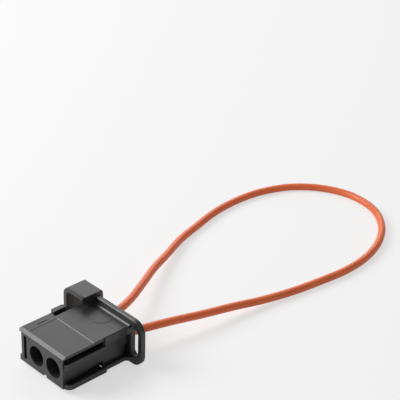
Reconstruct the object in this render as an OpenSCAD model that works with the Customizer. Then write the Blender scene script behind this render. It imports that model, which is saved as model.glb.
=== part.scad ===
// Two-port plastic fibre plug whose two fibres are one closed loop.
// X runs across the plug, Y from the nose back to the loop, Z up.
// Below, sizes are measured from the nose face (y = 0) and the underside of the body (z = 0).

/* [Ports] */
// Distance between the two port axes
port_pitch = 6.85; // [6.75:0.05:6.95]
// Diameter of each port bore
port_d = 5.7; // [5.5:0.05:5.8]
// Depth of each port behind the nose face
port_depth = 9; // [8.6:0.1:9.2]
// Height of the port axes above the underside
port_z = 4.6; // [4.5:0.05:4.7]

/* [Nose] */
// Width of the nose block, without the latch arm
nose_w = 14.9; // [14.8:0.1:15.2]
// Height of the nose block
nose_h = 9.2; // [9.2:0.1:9.6]
// Length of the nose block
nose_len = 13.2; // [13:0.1:13.4]

/* [Latch] */
// Thickness of the springing arm
arm_t = 1; // [0.8:0.1:1.1]
// Free gap between the arm and the nose block
arm_gap = 1.15; // [1:0.05:1.2]
// Thickness of the press pad
pad_t = 1.55; // [1.3:0.05:1.7]

/* [Shell] */
// Width of the deck that covers the nose
deck_w = 18.65; // [18.5:0.05:18.8]
// Thickness of the deck
deck_t = 0.8; // [0.7:0.1:1]
// Distance from the nose face to the flange
body_len = 21.8; // [21.6:0.1:22]

/* [Flange] */
// Width of the flange
flange_w = 27.8; // [27.4:0.1:28.2]
// Height of the flange
flange_h = 13.8; // [13.6:0.1:14.2]
// Thickness of the flange
flange_t = 1.5; // [1.3:0.1:1.7]
// Corner radius of the flange
flange_r = 3.7; // [3:0.1:4]
// How far the flange reaches below the underside
flange_drop = 1.4; // [1.2:0.1:1.6]

/* [Guard hoop] */
// Width of the guard hoop over the press pad
hoop_w = 9; // [8.8:0.1:9.2]
// Length of the guard hoop
hoop_len = 6.2; // [6:0.1:6.4]
// Height of the hoop above the underside
hoop_top = 13.35; // [13.2:0.05:13.6]
// Thickness of the hoop's top wall
hoop_wall = 1.5; // [1.3:0.1:1.6]

/* [Fibre] */
// Diameter of the orange jacket
jacket_d = 2.3; // [2.1:0.05:2.35]
// Diameter of the stripped fibre inside the ferrules
buffer_d = 1.5; // [1.4:0.05:1.5]

/* [Hidden] */
$fn = 64;
eps = 0.01;

// Across the plug
nose_x0 = -6.4;
nose_x1 = nose_x0 + nose_w;
port_mid = (nose_x0 + nose_x1) / 2 + 0.125;
port_x = [port_mid - port_pitch / 2, port_mid + port_pitch / 2];
arm_x1 = nose_x0 - arm_gap;
arm_x0 = arm_x1 - arm_t;
pad_x1 = -8.7;
pad_x0 = pad_x1 - pad_t;
deck_x0 = -9.55;
deck_x1 = deck_x0 + deck_w;
deck_cut_x = -7.2;
strip_x = 9.45;
fin_x = 8.65;
rail_x = 10.2;
flange_x = flange_w / 2;
plateau_x0 = -6.1;
hoop_x0 = -flange_x;
hoop_x1 = hoop_x0 + hoop_w;

// Along the plug
deck_front = -0.25;
bevel_back = 0.75;
deck_cut_y = 10.2;
tongue_end = body_len - 0.2;
sleeve_front = nose_len + 0.5;
flange_back = body_len + flange_t;
hoop_y0 = body_len - 3.5;
hoop_y1 = hoop_y0 + hoop_len;
plateau_y = 9.95;
fillet_r = 1;
ejector_x = 1;
ejector_y = 19;
ejector_r = 3.4;
ferrule_tip = 3.5;
web_front = port_depth;
web_back = 12;
lock_y0 = 13.6;
lock_y1 = 15.4;
pad_y0 = 10.8;
pad_y1 = 15.1;
arm_tail_y = 20;
jacket_start = 16.5;
ferrule_end = 19;
groove_y0 = 2.9;
groove_y1 = 3.2;

// Up the plug
deck_z = nose_h;
deck_top = nose_h + deck_t;
plateau_top = deck_top + 0.2;
floor_t = 0.9;
seam = 0.4;
strip_z = 1.1;
rail_z = 7.6;
rail_root_z = 5.9;
groove_z = 6.5;
lower_rail_z = 1.45;
flange_z0 = -flange_drop;
flange_z1 = flange_z0 + flange_h;

// Turned parts
waist_r = 3.2;
port_r = port_d / 2;
port_groove_r = port_r + 0.35;
port_inner_r = port_r - 0.35;
barrel_r = 1.45;
collar_r = 2.1;
neck_r = 1.6;
tail_r = 1.75;
cavity_r = collar_r + 0.1;
jacket_bore_r = 1.2;
buffer_bore_r = 0.77;
cable_hole_r = 1.75;

// The part's own frame: centred over the shell, standing on the flange's lower edge
mid_y = (deck_front + hoop_y1) / 2;
axis_z = port_z + flange_drop;
module place() translate([0, -mid_y, flange_drop]) children();

// Where the loop lies, from the left port round to the right one, in the part's own frame
lay = [
    [-2.5, 10.5, 6], [-4, 15.5, 5.9], [-7.5, 24.5, 5.1], [-12.5, 33.5, 4.1],
    [-18, 43, 3], [-22.5, 52.5, 2.1], [-27, 62, 1.4], [-30, 72, 1.2],
    [-32.5, 82, 1.2], [-33.5, 92.5, 1.2], [-32.5, 103, 1.2], [-28.5, 113, 1.2],
    [-21, 120.5, 1.2], [-11.5, 124, 1.2], [-1, 122.5, 1.2], [7.5, 116.5, 1.2],
    [13.5, 108, 1.2], [17, 98, 1.2], [18, 87.5, 1.2], [17, 77, 1.2],
    [15.5, 66.5, 1.3], [13.5, 56, 1.8], [11.5, 46, 2.9], [10, 35.5, 4.2],
    [8, 25, 5.4], [6, 16, 5.9], [5, 10.5, 6]
];
start_y = jacket_start - mid_y;
tail_y = ferrule_end - mid_y;
route = concat(
    [[port_x[0], start_y, axis_z], [port_x[0], tail_y, axis_z]],
    lay,
    [[port_x[1], tail_y, axis_z], [port_x[1], start_y, axis_z]]);
tube_sides = 8;
tube_steps = 2;

// Point on the smooth curve through p0..p3, between p1 and p2
function on_curve(p0, p1, p2, p3, t) =
    0.5 * (2 * p1 + (p2 - p0) * t
    + (2 * p0 - 5 * p1 + 4 * p2 - p3) * t * t
    + (3 * p1 - p0 - 3 * p2 + p3) * t * t * t);
function unit(v) = v / norm(v);
function held(p, i) = p[max(0, min(len(p) - 1, i))];
function smooth(p, n) = concat(
    [for (i = [0 : len(p) - 2], k = [0 : n - 1])
        on_curve(held(p, i - 1), p[i], p[i + 1], held(p, i + 2), k / n)],
    [p[len(p) - 1]]);
function heading(p, i) = unit(held(p, i + 1) - held(p, i - 1));
function ring(c, d, r, sides) =
    let (side = unit(cross(d, [0, 0, 1])), up = cross(side, d))
    [for (k = [0 : sides - 1]) let (a = 360 * (k + 0.5) / sides)
        c + r * (cos(a) * side + sin(a) * up)];

// Solid tube along a list of points, with a flat cap at each end
module tube(p, r, sides) {
    count = len(p);
    points = [for (i = [0 : count - 1], q = ring(p[i], heading(p, i), r, sides)) q];
    walls = [for (i = [0 : count - 2], k = [0 : sides - 1])
        let (a = i * sides + k, b = i * sides + (k + 1) % sides)
        [a, a + sides, b + sides, b]];
    cap0 = [for (k = [0 : sides - 1]) k];
    cap1 = [for (k = [sides - 1 : -1 : 0]) (count - 1) * sides + k];
    polyhedron(points, concat([cap0], walls, [cap1]));
}

// Extrusions of an outline drawn in the two other axes
module along_x(x0, x1) translate([x0, 0, 0]) rotate([90, 0, 90]) linear_extrude(x1 - x0) children();
module along_y(y0, y1) translate([0, y1, 0]) rotate([90, 0, 0]) linear_extrude(y1 - y0) children();
module along_z(z0, z1) translate([0, 0, z0]) linear_extrude(z1 - z0) children();
module block(lo, hi) translate(lo) cube(hi - lo);
module bore(x, r, y0, y1) translate([x, y0, port_z]) rotate([-90, 0, 0]) cylinder(h = y1 - y0, r = r);

module box2(x0, y0, x1, y1) translate([x0, y0]) square([x1 - x0, y1 - y0]);

// What a corner loses when it is rounded: sx and sy point from the corner into the body
module corner2(x, y, r, sx, sy) {
    difference() {
        box2(min(x - sx * eps, x + sx * r), min(y - sy * eps, y + sy * r),
             max(x - sx * eps, x + sx * r), max(y - sy * eps, y + sy * r));
        translate([x + sx * r, y + sy * r]) circle(r);
    }
}

// Slot with two round ends, standing on its lower end
module slot2(x0, x1, z0, z1) {
    r = (x1 - x0) / 2;
    box2(x0, z0 + r, x1, z1 - r);
    for (z = [z0 + r, z1 - r]) translate([x0 + r, z]) circle(r);
}

// Flat plate across the plug with round corners and a small chamfer on both faces
module flange_plate(c) {
    half = [flange_x, flange_h / 2];
    inset = half - [flange_r, flange_r];
    rim = [[0, 0], [flange_r - c, 0], [flange_r, c], [flange_r, flange_t - c],
           [flange_r - c, flange_t], [0, flange_t]];
    translate([0, body_len, flange_z0 + half[1]]) {
        for (sx = [-1, 1], sz = [-1, 1])
            translate([sx * inset[0], 0, sz * inset[1]])
                rotate([-90, 0, 0]) rotate_extrude() polygon(rim);
        rotate([90, 0, 90]) translate([0, 0, -inset[0]]) linear_extrude(2 * inset[0])
            chamfered_band(half[1], c);
        translate([0, 0, -inset[1]]) linear_extrude(2 * inset[1])
            rotate(90) chamfered_band(half[0], c);
    }
}

module chamfered_band(half, c) {
    polygon([[0, c - half], [c, -half], [flange_t - c, -half], [flange_t, c - half],
             [flange_t, half - c], [flange_t - c, half], [c, half], [0, half - c]]);
}

// Deck over the nose: bevelled front edge, rounded left edge, raised rear field
module deck() {
    intersection() {
        along_x(deck_x0, deck_x1)
            polygon([[deck_front, deck_z], [deck_front, deck_z + 0.2], [bevel_back, deck_top],
                     [body_len + eps, deck_top], [body_len + eps, deck_z]]);
        along_z(deck_z - 1, deck_top + 1) difference() {
            box2(deck_x0, deck_front, deck_x1, body_len + eps);
            corner2(deck_x0, deck_front, 0.85, 1, 1);
            corner2(deck_x1, deck_front, 0.3, -1, 1);
            box2(deck_x0 - 1, deck_cut_y, deck_cut_x, body_len + 1);
        }
        along_y(deck_front - 1, body_len + 1) difference() {
            box2(deck_x0, deck_z, deck_x1, deck_top);
            corner2(deck_x0, deck_top, 0.6, 1, -1);
        }
    }
    along_x(plateau_x0, deck_x1)
        polygon([[plateau_y - 0.2, deck_top - 0.1], [plateau_y - 0.2, deck_top],
                 [plateau_y, plateau_top], [body_len + eps, plateau_top],
                 [body_len + eps, deck_top - 0.1]]);
    // Fillet between the raised field and the flange
    along_x(hoop_x1, strip_x) difference() {
        box2(body_len - fillet_r, deck_top - 0.1, body_len + eps, plateau_top + fillet_r);
        translate([body_len - fillet_r, plateau_top + fillet_r]) circle(fillet_r);
    }
}

// Open-sided sleeve that grips the carrier's rear tongue
module sleeve() {
    along_z(0, floor_t) box2(-strip_x, sleeve_front, strip_x, body_len + eps);
    block([deck_cut_x, sleeve_front, 0], [nose_x0, body_len + eps, deck_top]);
    along_z(rail_z + seam, deck_top)
        polygon([[nose_x1, nose_len + 0.1], [strip_x, nose_len + 0.1], [strip_x, body_len - 1.1],
                 [strip_x + 1.1, body_len + eps], [nose_x1, body_len + eps]]);
    for (side = [0, 1]) mirror([side, 0, 0])
        along_z(0, strip_z)
            polygon([[nose_x1, sleeve_front], [strip_x, sleeve_front], [strip_x, body_len - 1.8],
                     [strip_x + 1.8, body_len + eps], [nose_x1, body_len + eps]]);
}

// Hoop that guards the press pad, open below and at both ends
module hoop() {
    leg = 1.2;
    post = 1.5;
    draft = 0.35;
    bottom = 2.8;
    inner_top = hoop_top - hoop_wall;
    foot_z = deck_top - 0.1;
    difference() {
        intersection() {
            along_y(hoop_y0, hoop_y1) difference() {
                polygon([[hoop_x0, bottom], [hoop_x1, bottom], [hoop_x1 + draft, foot_z],
                         [hoop_x1, hoop_top], [hoop_x0, hoop_top]]);
                corner2(hoop_x0, hoop_top, 3, 1, -1);
                corner2(hoop_x0, bottom, 1.1, 1, 1);
            }
            along_x(hoop_x0 - 1, hoop_x1 + 1) difference() {
                box2(hoop_y0, 0, hoop_y1, hoop_top);
                corner2(hoop_y1, hoop_top, 0.6, -1, -1);
            }
        }
        along_y(hoop_y0 - 1, hoop_y1 + 1) difference() {
            polygon([[hoop_x0 + leg, 0], [hoop_x1 + 1, 0], [hoop_x1 + 1, foot_z],
                     [hoop_x1 - 0.2, foot_z], [hoop_x1 - post, inner_top - 0.6],
                     [hoop_x1 - post, inner_top], [hoop_x0 + leg, inner_top]]);
            corner2(hoop_x0 + leg, inner_top, 1.4, 1, -1);
            corner2(hoop_x1 - post, inner_top, 0.5, -1, -1);
        }
        // The right front edge is waisted: round at half height, sharp at the top and the foot
        difference() {
            block([hoop_x1 - post, hoop_y0 - 1, deck_top - 1],
                  [hoop_x1 + 1, hoop_y0 + post, hoop_top + 1]);
            translate([hoop_x1 - post, hoop_y0 + post, 0]) rotate_extrude() difference() {
                square([post + 0.9, hoop_top + 2]);
                translate([post + waist_r, inner_top - 0.35]) circle(waist_r);
            }
        }
    }
}

module outer_shell() color([0.24, 0.245, 0.25]) place() {
    difference() {
        union() {
            deck();
            sleeve();
            flange_plate(0.2);
        }
        // Cable holes, side slot and the window that the press pad passes through
        for (x = port_x) bore(x, cable_hole_r, body_len - 0.5, flange_back + 1);
        along_y(body_len - 1, flange_back + 1) slot2(9.7, 12.5, 1.4, 9.9);
        along_y(body_len - 1, flange_back + 1)
            box2(hoop_x0 + 1.2, 1.4, deck_cut_x, hoop_top - hoop_wall);
        // Fine lines moulded into the deck and the ring that an ejector leaves
        block([plateau_x0, bevel_back + 0.25, deck_top - 0.1],
              [plateau_x0 + 0.15, plateau_y - 0.2, deck_top + 1]);
        block([-7.3, 4.1, deck_top - 0.2], [-7.08, 7.6, deck_top + 1]);
        along_z(plateau_top - 0.06, plateau_top + 1) intersection() {
            box2(deck_x0, 0, deck_x1, body_len - fillet_r);
            translate([ejector_x, ejector_y]) difference() {
                circle(ejector_r);
                circle(ejector_r - 0.18);
            }
        }
        // Window in the floor for the carrier's snap
        block([-1, 15.4, -1], [3.4, 18.1, floor_t + eps]);
    }
    hoop();
}

// Ledge along the foot of the nose with an upright fin on its outer edge
module lower_rail(x_in, x_out, y_front, ledge_z, r_front) {
    y_back = nose_len + 0.4;
    fin = 0.7;
    module outline(inset) difference() {
        box2(x_in, y_front + inset, x_out - inset, y_back - inset);
        corner2(x_out - inset, y_front + inset, max(r_front - inset, 0.1), -1, 1);
        corner2(x_out - inset, y_back - inset, 0.75 - min(inset, 0.5), -1, -1);
    }
    along_z(0, ledge_z) outline(0);
    along_z(0, lower_rail_z) difference() {
        outline(0);
        outline(fin);
        box2(x_in - 1, -1, nose_x1 - 0.2, nose_len + 1);
    }
}

// Springing arm with its catch and the press pad at its free end
module latch_arm() {
    arm_top = nose_h - 0.1;
    along_z(0.65, arm_top)
        polygon([[arm_x0, 0], [arm_x1, 0], [arm_x1, 9.7], [pad_x1, 11.6], [pad_x1, 13],
                 [pad_x0, 13], [pad_x0, 11], [arm_x0, 9.4]]);
    along_z(1.6, plateau_top) difference() {
        box2(pad_x0, pad_y0, pad_x1, pad_y1);
        corner2(pad_x0, pad_y0, 0.7, 1, 1);
        corner2(pad_x0, pad_y1, 0.6, 1, -1);
    }
    // Lower tail that the guard hoop keeps from bending too far
    along_z(1.6, 7) difference() {
        box2(pad_x0, pad_y0 + 1, pad_x1, arm_tail_y);
        corner2(pad_x0, arm_tail_y, 0.7, 1, -1);
    }
    along_z(3, 6.4)
        polygon([[arm_x0 + eps, 5.4], [arm_x0 + eps, 8.2], [arm_x0 - 0.85, 8.2],
                 [arm_x0 - 0.85, 7.6]]);
    // Roots of the arm at the nose face
    block([arm_x0, 0, 0], [arm_x1, 2, nose_h]);
    block([arm_x1 - eps, 0, 8.4], [nose_x0 + eps, 2, nose_h]);
}

module nose_cuts() {
    for (x = port_x) {
        bore(x, port_r, -1, groove_y0);
        bore(x, port_groove_r, groove_y0, groove_y1);
        bore(x, port_inner_r, groove_y1, web_front);
        bore(x, barrel_r + 0.05, web_front - 1, web_back + 1);
        bore(x, cavity_r, web_back, tongue_end + 1);
    }
    // Key groove along the upper right edge, closed by a thin wall at the nose face
    block([nose_x1 - 1.6, 0.5, groove_z], [nose_x1 + 1, nose_len, nose_h + 1]);
    // Tapering pocket above the lower ledge
    along_x(7.2, nose_x1 + 1)
        polygon([[0.6, 0.45], [nose_len, 0.45], [nose_len, 2.7], [0.6, 1.1]]);
    // Key notch in the underside and two ticks on the face
    block([0.4, -1, -1], [1.8, 8, 0.6]);
    for (x = [-5.6, 7.5]) block([x, -1, 7.5], [x + 0.25, 0.2, 8.4]);
}

module tongue_cuts() {
    // Slot for the lock comb
    block([-5.4, lock_y0 - 0.05, 1.4], [7.75, lock_y1 + 0.05, nose_h + 1]);
    // Seams beside the shell's strips and the pry notch
    for (z = [strip_z, rail_z])
        block([nose_x1 - 0.6, nose_len + 0.4, z], [nose_x1 + 1, tongue_end - 1, z + seam]);
    block([nose_x1 - 1.5, tongue_end - 1, strip_z], [nose_x1 + 1, tongue_end + 1, 4.5]);
}

module upper_rail_plan(x_in) difference() {
    box2(x_in, 0.4, strip_x, nose_len + 0.4);
    corner2(strip_x, 0.4, 0.75, -1, 1);
}

module ferrule_carrier() color([0.2, 0.205, 0.21]) place() {
    difference() {
        union() {
            block([nose_x0, 0, 0], [nose_x1, nose_len, nose_h]);
            block([nose_x0, nose_len - 1, floor_t], [nose_x1, tongue_end, nose_h]);
        }
        nose_cuts();
        tongue_cuts();
    }
    // Snap that drops into the shell's floor window
    along_x(-0.9, 3.3) polygon([[15.6, floor_t + eps], [17.9, floor_t + eps], [17.9, 0.2], [17.5, 0.2]]);
    // Upper rail: a lip that stands up in front of the key groove
    along_z(rail_root_z, groove_z) upper_rail_plan(nose_x1 - eps);
    along_z(rail_root_z, rail_z) upper_rail_plan(fin_x);
    lower_rail(nose_x1 - eps, rail_x, 0.4, 0.45, 1.7);
    mirror([1, 0, 0]) lower_rail(-nose_x0 - eps, 9.5, 0, 1.2, 0.35);
    latch_arm();
}

// Comb pushed in from above: its forks hold both ferrules by their necks
module ferrule_lock() color([0.2, 0.205, 0.21]) place() {
    along_y(lock_y0, lock_y1) difference() {
        box2(-5.35, 1.45, 7.7, nose_h);
        for (x = port_x) {
            translate([x, port_z]) circle(neck_r + 0.05);
            box2(x - neck_r - 0.05, 0, x + neck_r + 0.05, port_z);
        }
    }
}

module ferrule(x) color([0.08, 0.08, 0.09]) place() {
    translate([x, 0, port_z]) rotate([-90, 0, 0]) rotate_extrude()
        polygon([
            [buffer_bore_r, ferrule_tip], [barrel_r - 0.2, ferrule_tip], [barrel_r, ferrule_tip + 0.2],
            [barrel_r, web_back], [collar_r, web_back], [collar_r, lock_y0 - 0.1],
            [neck_r, lock_y0 - 0.1], [neck_r, lock_y1 + 0.1], [collar_r, lock_y1 + 0.1],
            [collar_r, jacket_start], [tail_r, jacket_start], [tail_r, ferrule_end],
            [jacket_bore_r, ferrule_end], [jacket_bore_r, jacket_start],
            [buffer_bore_r, jacket_start]]);
}

module fibre_end(x) color([0.85, 0.86, 0.84]) place()
    translate([x, ferrule_tip, port_z]) rotate([-90, 0, 0])
        cylinder(h = jacket_start - ferrule_tip, d = buffer_d);

module ferrule_left() ferrule(port_x[0]);
module ferrule_right() ferrule(port_x[1]);
module fibre_end_left() fibre_end(port_x[0]);
module fibre_end_right() fibre_end(port_x[1]);
module fibre_loop() color([0.93, 0.58, 0.36]) tube(smooth(route, tube_steps), jacket_d / 2, tube_sides);

outer_shell();
ferrule_carrier();
ferrule_lock();
ferrule_left();
ferrule_right();
fibre_end_left();
fibre_end_right();
fibre_loop();
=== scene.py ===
"""Looks of the fibre loopback plug: camera, fibre loop, moulded plastics, stage and light.

Everything is in the row frame, in metres: +Y from the nose back to the loop, +Z up.
"""
import math

import bpy
from mathutils import Matrix, Vector


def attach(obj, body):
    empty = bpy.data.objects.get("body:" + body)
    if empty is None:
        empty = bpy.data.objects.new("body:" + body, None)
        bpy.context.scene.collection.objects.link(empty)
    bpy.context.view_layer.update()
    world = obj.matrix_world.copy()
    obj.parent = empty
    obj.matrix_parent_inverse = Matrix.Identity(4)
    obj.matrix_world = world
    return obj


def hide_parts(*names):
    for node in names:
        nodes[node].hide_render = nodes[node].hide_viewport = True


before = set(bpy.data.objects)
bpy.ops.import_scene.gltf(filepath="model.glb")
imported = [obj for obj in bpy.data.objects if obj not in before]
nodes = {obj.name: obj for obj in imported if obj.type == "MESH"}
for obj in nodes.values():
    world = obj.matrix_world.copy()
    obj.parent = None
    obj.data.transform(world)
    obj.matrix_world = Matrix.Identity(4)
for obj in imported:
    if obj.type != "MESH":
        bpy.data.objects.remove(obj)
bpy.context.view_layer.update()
MM = 0.001

# ---------------------------------------------------------------- sizes, in millimetres
PORT_X = (-2.25, 4.6)
AXIS_Z = 6.0
JACKET_D = 2.3
CORE_R = 0.5
CORE_BLUR = 0.02

# The loop's route, as in the part's source: straight out of both ferrules, then down to the floor
JACKET_START_Y = 4.375
FERRULE_END_Y = 6.875
LAY = [
    (-2.5, 10.5, 6), (-4, 15.5, 5.9), (-7.5, 24.5, 5.1), (-12.5, 33.5, 4.1),
    (-18, 43, 3), (-22.5, 52.5, 2.1), (-27, 62, 1.4), (-30, 72, 1.2),
    (-32.5, 82, 1.2), (-33.5, 92.5, 1.2), (-32.5, 103, 1.2), (-28.5, 113, 1.2),
    (-21, 120.5, 1.2), (-11.5, 124, 1.2), (-1, 122.5, 1.2), (7.5, 116.5, 1.2),
    (13.5, 108, 1.2), (17, 98, 1.2), (18, 87.5, 1.2), (17, 77, 1.2),
    (15.5, 66.5, 1.3), (13.5, 56, 1.8), (11.5, 46, 2.9), (10, 35.5, 4.2),
    (8, 25, 5.4), (6, 16, 5.9), (5, 10.5, 6),
]
ROUTE = (
    [(PORT_X[0], JACKET_START_Y, AXIS_Z), (PORT_X[0], FERRULE_END_Y, AXIS_Z)]
    + LAY
    + [(PORT_X[1], FERRULE_END_Y, AXIS_Z), (PORT_X[1], JACKET_START_Y, AXIS_Z)]
)
LOOP_STEPS = 10

# ---------------------------------------------------------------- camera: degrees and millimetres
CAMERA_AZIMUTH = 45.16
CAMERA_ELEVATION = 28.7
CAMERA_ROLL = 2.08
CAMERA_LENS = 118.26
CAMERA_PLACE = (222.71, -178.535, 205.15)

# ---------------------------------------------------------------- stage and light, in metres
FLOOR_HALF = 1.5
FLOOR_DROP = 0.00002
FLOOR_COLOUR = (0.92, 0.92, 0.92, 1)
# How much of the floor's look is plain white to the camera, and how much of that gloss mirrors
FLOOR_WHITE = 0.6
FLOOR_MIRRORED = 0.3
LIT_POINT = (0, 0.02, 0)
KEY_TOWARD = (-0.62, -0.48, 0.62)
KEY_DISTANCE = 0.8
KEY_SIZE = 0.5
KEY_RADIANCE = 8.0
BACK_TOWARD = (-0.62, 0.62, 0.5)
BACK_DISTANCE = 0.9
BACK_SIZE = 0.7
BACK_RADIANCE = 1.6
WORLD_STRENGTH = 0.3

# ---------------------------------------------------------------- colours and roughness
SHELL_GREY = (0.026, 0.0265, 0.028)
CARRIER_GREY = (0.024, 0.0245, 0.025)
FERRULE_BLACK = (0.012, 0.012, 0.013)
JACKET_ORANGE = (0.86, 0.175, 0.052)
CORE_CLEAR = (0.75, 0.77, 0.74, 1)
COAT_BLACK = (0.02, 0.02, 0.022, 1)
MOULDED_ROUGHNESS = 0.36
FERRULE_ROUGHNESS = 0.3
FERRULE_EDGE = 0.06
# The middle stretch of a noise's values, which is spread over the wanted span
NOISE_LOW = 0.3
NOISE_HIGH = 0.7


# ---------------------------------------------------------------- camera
def add_camera():
    """The photograph's view: from the front right, above, turned a little about its own axis."""
    azimuth = math.radians(CAMERA_AZIMUTH)
    elevation = math.radians(CAMERA_ELEVATION)
    roll = math.radians(CAMERA_ROLL)
    back = Vector((math.sin(azimuth) * math.cos(elevation),
                   -math.cos(azimuth) * math.cos(elevation),
                   math.sin(elevation)))
    right = Vector((math.cos(azimuth), math.sin(azimuth), 0))
    up = back.cross(right)
    right_rolled = math.cos(roll) * right + math.sin(roll) * up
    up_rolled = math.cos(roll) * up - math.sin(roll) * right
    data = bpy.data.cameras.new("camera")
    data.lens = CAMERA_LENS
    data.sensor_width = 36
    data.clip_start = 0.01
    data.clip_end = 10
    camera = bpy.data.objects.new("camera", data)
    bpy.context.collection.objects.link(camera)
    turn = Matrix((right_rolled, up_rolled, back)).transposed().to_4x4()
    camera.matrix_world = Matrix.Translation(Vector(CAMERA_PLACE) * MM) @ turn
    bpy.context.scene.camera = camera


# ---------------------------------------------------------------- fibre loop
def on_curve(p0, p1, p2, p3, t):
    """Point on the smooth curve through p0..p3, between p1 and p2."""
    return 0.5 * (2 * p1 + (p2 - p0) * t
                  + (2 * p0 - 5 * p1 + 4 * p2 - p3) * t * t
                  + (3 * p1 - p0 - 3 * p2 + p3) * t * t * t)


def smooth(points, steps):
    """The points with steps - 1 more between each two, on one smooth curve."""
    last = len(points) - 1
    out = []
    for i in range(last):
        held = [points[min(max(i + k, 0), last)] for k in (-1, 0, 1, 2)]
        out += [on_curve(*held, k / steps) for k in range(steps)]
    return out + [points[last]]


def add_loop():
    """The jacketed fibre, one open curve from inside the left ferrule to inside the right one."""
    path = smooth([Vector(p) * MM for p in ROUTE], LOOP_STEPS)
    data = bpy.data.curves.new("fibre_loop_jacket", "CURVE")
    data.dimensions = "3D"
    data.bevel_depth = JACKET_D / 2 * MM
    data.bevel_resolution = 8
    data.use_fill_caps = True
    spline = data.splines.new("POLY")
    spline.points.add(len(path) - 1)
    for point, place in zip(spline.points, path):
        point.co = (*place, 1)
    spline.use_smooth = True
    loop = bpy.data.objects.new("fibre_loop_jacket", data)
    bpy.context.collection.objects.link(loop)
    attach(loop, "root")
    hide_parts("fibre_loop")
    return loop


# ---------------------------------------------------------------- materials
class Nodes:
    """Short names for building a shader tree."""

    def __init__(self, name):
        self.material = bpy.data.materials.new(name)
        self.material.use_nodes = True
        self.tree = self.material.node_tree
        self.shader = self.tree.nodes["Principled BSDF"]

    def add(self, kind, **settings):
        node = self.tree.nodes.new("ShaderNode" + kind)
        for key, value in settings.items():
            setattr(node, key, value)
        return node

    def join(self, source, target):
        self.tree.links.new(source, target)

    def value_of(self, socket, target):
        """Links a socket, or sets a number, vector or colour."""
        if isinstance(socket, bpy.types.NodeSocket):
            self.join(socket, target)
        else:
            target.default_value = socket

    def math(self, operation, a, b=0.0):
        node = self.add("Math", operation=operation)
        self.value_of(a, node.inputs[0])
        self.value_of(b, node.inputs[1])
        return node.outputs[0]

    def noise(self, scale, detail=2.0, roughness=0.5):
        node = self.add("TexNoise")
        node.inputs["Scale"].default_value = scale
        node.inputs["Detail"].default_value = detail
        node.inputs["Roughness"].default_value = roughness
        self.join(self.place(), node.inputs["Vector"])
        return node.outputs["Fac"]

    def place(self):
        if not hasattr(self, "_place"):
            self._place = self.add("TexCoord").outputs["Object"]
        return self._place

    def span(self, socket, low, high, out_low=0.0, out_high=1.0):
        """Maps low..high to out_low..out_high, clamped."""
        node = self.add("MapRange")
        self.join(socket, node.inputs["Value"])
        for name, number in zip(("From Min", "From Max", "To Min", "To Max"),
                                (low, high, out_low, out_high)):
            node.inputs[name].default_value = number
        return node.outputs["Result"]

    def varied(self, scale, detail, low, high):
        """Noise of this scale that runs from low to high."""
        return self.span(self.noise(scale, detail), NOISE_LOW, NOISE_HIGH, low, high)

    def mix(self, factor, a, b, mode="MIX"):
        node = self.add("Mix", data_type="RGBA", blend_type=mode)
        self.value_of(factor, node.inputs["Factor"])
        self.value_of(a, node.inputs["A"])
        self.value_of(b, node.inputs["B"])
        return node.outputs["Result"]

    def bump(self, height, distance, normal=None):
        node = self.add("Bump")
        node.inputs["Strength"].default_value = 1.0
        node.inputs["Distance"].default_value = distance
        self.join(height, node.inputs["Height"])
        if normal is not None:
            self.join(normal, node.inputs["Normal"])
        return node.outputs["Normal"]


def moulded_plastic(name, colour, roughness, edge=0.12):
    """Near-black moulded plastic: rounded edges with a painted highlight (paler base colour along
    every edge), fine grain, faint clouding.
    """
    flat_lean = 0.995
    edge_lean = 0.85
    edge_highlight_share = 0.5
    edge_highlight_gain = 1.8
    edge_highlight_lift = 0.015
    roughness_spread = 0.04
    grain_height = 0.004
    n = Nodes(name)
    rounded = n.add("Bevel", samples=8)
    rounded.inputs["Radius"].default_value = edge * MM
    round_normal = rounded.outputs["Normal"]
    # How far the rounded normal leans from the flat one: 1 on faces, less along edges
    lean = n.add("VectorMath", operation="DOT_PRODUCT")
    n.join(round_normal, lean.inputs[0])
    n.join(n.add("NewGeometry").outputs["Normal"], lean.inputs[1])
    on_edge = n.span(lean.outputs["Value"], flat_lean, edge_lean)
    cloud = n.varied(scale=220, detail=3, low=0.9, high=1.1)
    base = n.mix(1.0, (*colour, 1), cloud, "MULTIPLY")
    # Painted highlight: the base colour is made paler along every edge, whatever the light
    edge_highlighted = n.mix(n.math("MULTIPLY", on_edge, edge_highlight_share), base,
                  (*[c * edge_highlight_gain + edge_highlight_lift for c in colour], 1))
    n.join(edge_highlighted, n.shader.inputs["Base Color"])
    rough = n.varied(scale=2600, detail=2, low=roughness - roughness_spread,
                     high=roughness + roughness_spread)
    n.join(rough, n.shader.inputs["Roughness"])
    n.shader.inputs["IOR"].default_value = 1.6
    grains = n.noise(scale=9000, detail=3, roughness=0.6)
    n.join(n.bump(grains, grain_height * MM, round_normal), n.shader.inputs["Normal"])
    return n.material


def jacket_plastic(name, colour):
    """Soft orange jacket: slightly translucent, faintly clouded, with a fine uneven skin."""
    skin_height = 0.004
    light_reach = 0.8
    n = Nodes(name)
    cloud = n.varied(scale=120, detail=3, low=0.94, high=1.06)
    n.join(n.mix(1.0, (*colour, 1), cloud, "MULTIPLY"), n.shader.inputs["Base Color"])
    n.shader.inputs["Subsurface Weight"].default_value = 0.35
    n.shader.inputs["Subsurface Radius"].default_value = (1.0, 0.35, 0.15)
    n.shader.inputs["Subsurface Scale"].default_value = light_reach * MM
    rough = n.varied(scale=1500, detail=2, low=0.32, high=0.42)
    n.join(rough, n.shader.inputs["Roughness"])
    n.join(n.bump(n.noise(scale=3500), skin_height * MM), n.shader.inputs["Normal"])
    return n.material


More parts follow.
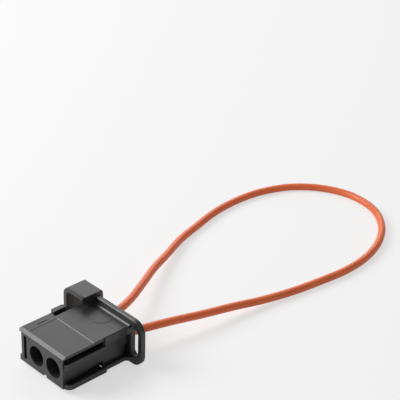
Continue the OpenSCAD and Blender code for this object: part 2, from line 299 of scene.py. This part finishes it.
def fibre_face(name):
    """Stripped fibre: black coat round a clear, bright core."""
    n = Nodes(name)
    split = n.add("SeparateXYZ")
    n.join(n.place(), split.inputs[0])
    distances = []
    for x in PORT_X:
        dx = n.math("SUBTRACT", split.outputs["X"], x * MM)
        dz = n.math("SUBTRACT", split.outputs["Z"], AXIS_Z * MM)
        squares = n.math("ADD", n.math("MULTIPLY", dx, dx), n.math("MULTIPLY", dz, dz))
        distances.append(n.math("SQRT", squares))
    radius = n.math("MINIMUM", *distances)
    core = n.span(radius, (CORE_R + CORE_BLUR) * MM, (CORE_R - CORE_BLUR) * MM)
    cloud = n.varied(scale=4000, detail=2, low=0.9, high=1.0)
    clear = n.mix(1.0, CORE_CLEAR, cloud, "MULTIPLY")
    n.join(n.mix(core, COAT_BLACK, clear), n.shader.inputs["Base Color"])
    n.shader.inputs["Roughness"].default_value = 0.18
    return n.material


def dress(node, material):
    """Gives a CAD node this material in place of its own."""
    slots = nodes[node].data.materials
    slots.clear()
    slots.append(material)


# ---------------------------------------------------------------- stage and light
def seen_directly(n, share_in_gloss):
    """1 for the camera's own rays and for rays through clear things, less for mirrored ones."""
    path = n.add("LightPath")
    mirrored = n.math("MULTIPLY", path.outputs["Is Glossy Ray"], share_in_gloss)
    through = n.math("MAXIMUM", path.outputs["Is Camera Ray"],
                     path.outputs["Is Transmission Ray"])
    return n.math("MAXIMUM", mirrored, through)


def add_floor():
    """Pale floor, part plain white to the camera, that keeps the object's shadow."""
    mesh = bpy.data.meshes.new("floor")
    corners = [(-FLOOR_HALF, -FLOOR_HALF, 0), (FLOOR_HALF, -FLOOR_HALF, 0),
               (FLOOR_HALF, FLOOR_HALF, 0), (-FLOOR_HALF, FLOOR_HALF, 0)]
    mesh.from_pydata(corners, [], [(0, 1, 2, 3)])
    floor = bpy.data.objects.new("floor", mesh)
    floor.location.z = -FLOOR_DROP
    bpy.context.collection.objects.link(floor)
    n = Nodes("floor_white")
    n.shader.inputs["Base Color"].default_value = FLOOR_COLOUR
    n.shader.inputs["Roughness"].default_value = 0.9
    n.shader.inputs["Specular IOR Level"].default_value = 0.1
    glow = n.add("Emission")
    glow.inputs["Strength"].default_value = 1.0
    blend = n.add("MixShader")
    white = n.math("MULTIPLY", seen_directly(n, FLOOR_MIRRORED), FLOOR_WHITE)
    n.join(white, blend.inputs[0])
    n.join(n.shader.outputs[0], blend.inputs[1])
    n.join(glow.outputs[0], blend.inputs[2])
    n.join(blend.outputs[0], n.tree.nodes["Material Output"].inputs["Surface"])
    mesh.materials.append(n.material)


def add_area(name, toward, distance, size, radiance):
    """Round soft light that aims at the object and shows this radiance."""
    data = bpy.data.lights.new(name, "AREA")
    data.shape = "DISK"
    data.size = size
    data.energy = radiance * math.pi * math.pi * (size / 2) ** 2
    lamp = bpy.data.objects.new(name, data)
    out = Vector(toward).normalized()
    lamp.location = Vector(LIT_POINT) + out * distance
    lamp.rotation_mode = "QUATERNION"
    lamp.rotation_quaternion = out.to_track_quat("Z", "Y")
    bpy.context.collection.objects.link(lamp)


def add_light():
    """Key from the front left, a weaker panel from behind, and a dim white world."""
    add_area("key", KEY_TOWARD, KEY_DISTANCE, KEY_SIZE, KEY_RADIANCE)
    add_area("back_left", BACK_TOWARD, BACK_DISTANCE, BACK_SIZE, BACK_RADIANCE)
    world = bpy.data.worlds.new("studio")
    world.use_nodes = True
    bpy.context.scene.world = world
    background = world.node_tree.nodes["Background"]
    background.inputs["Color"].default_value = (1, 1, 1, 1)
    background.inputs["Strength"].default_value = WORLD_STRENGTH


# ---------------------------------------------------------------- the scene
add_camera()
loop = add_loop()
loop.data.materials.append(jacket_plastic("jacket_orange", JACKET_ORANGE))

dress("outer_shell", moulded_plastic("shell_grey", SHELL_GREY, MOULDED_ROUGHNESS))
dress("ferrule_carrier", moulded_plastic("carrier_grey", CARRIER_GREY, MOULDED_ROUGHNESS))
dress("ferrule_lock", moulded_plastic("lock_grey", CARRIER_GREY, MOULDED_ROUGHNESS))
ferrule_black = moulded_plastic("ferrule_black", FERRULE_BLACK, FERRULE_ROUGHNESS, FERRULE_EDGE)
fibre_clear = fibre_face("fibre_clear")
for side in ("left", "right"):
    dress("ferrule_" + side, ferrule_black)
    dress("fibre_end_" + side, fibre_clear)

add_floor()
add_light()
bpy.context.scene.view_settings.view_transform = "Standard"

bpy.context.view_layer.update()
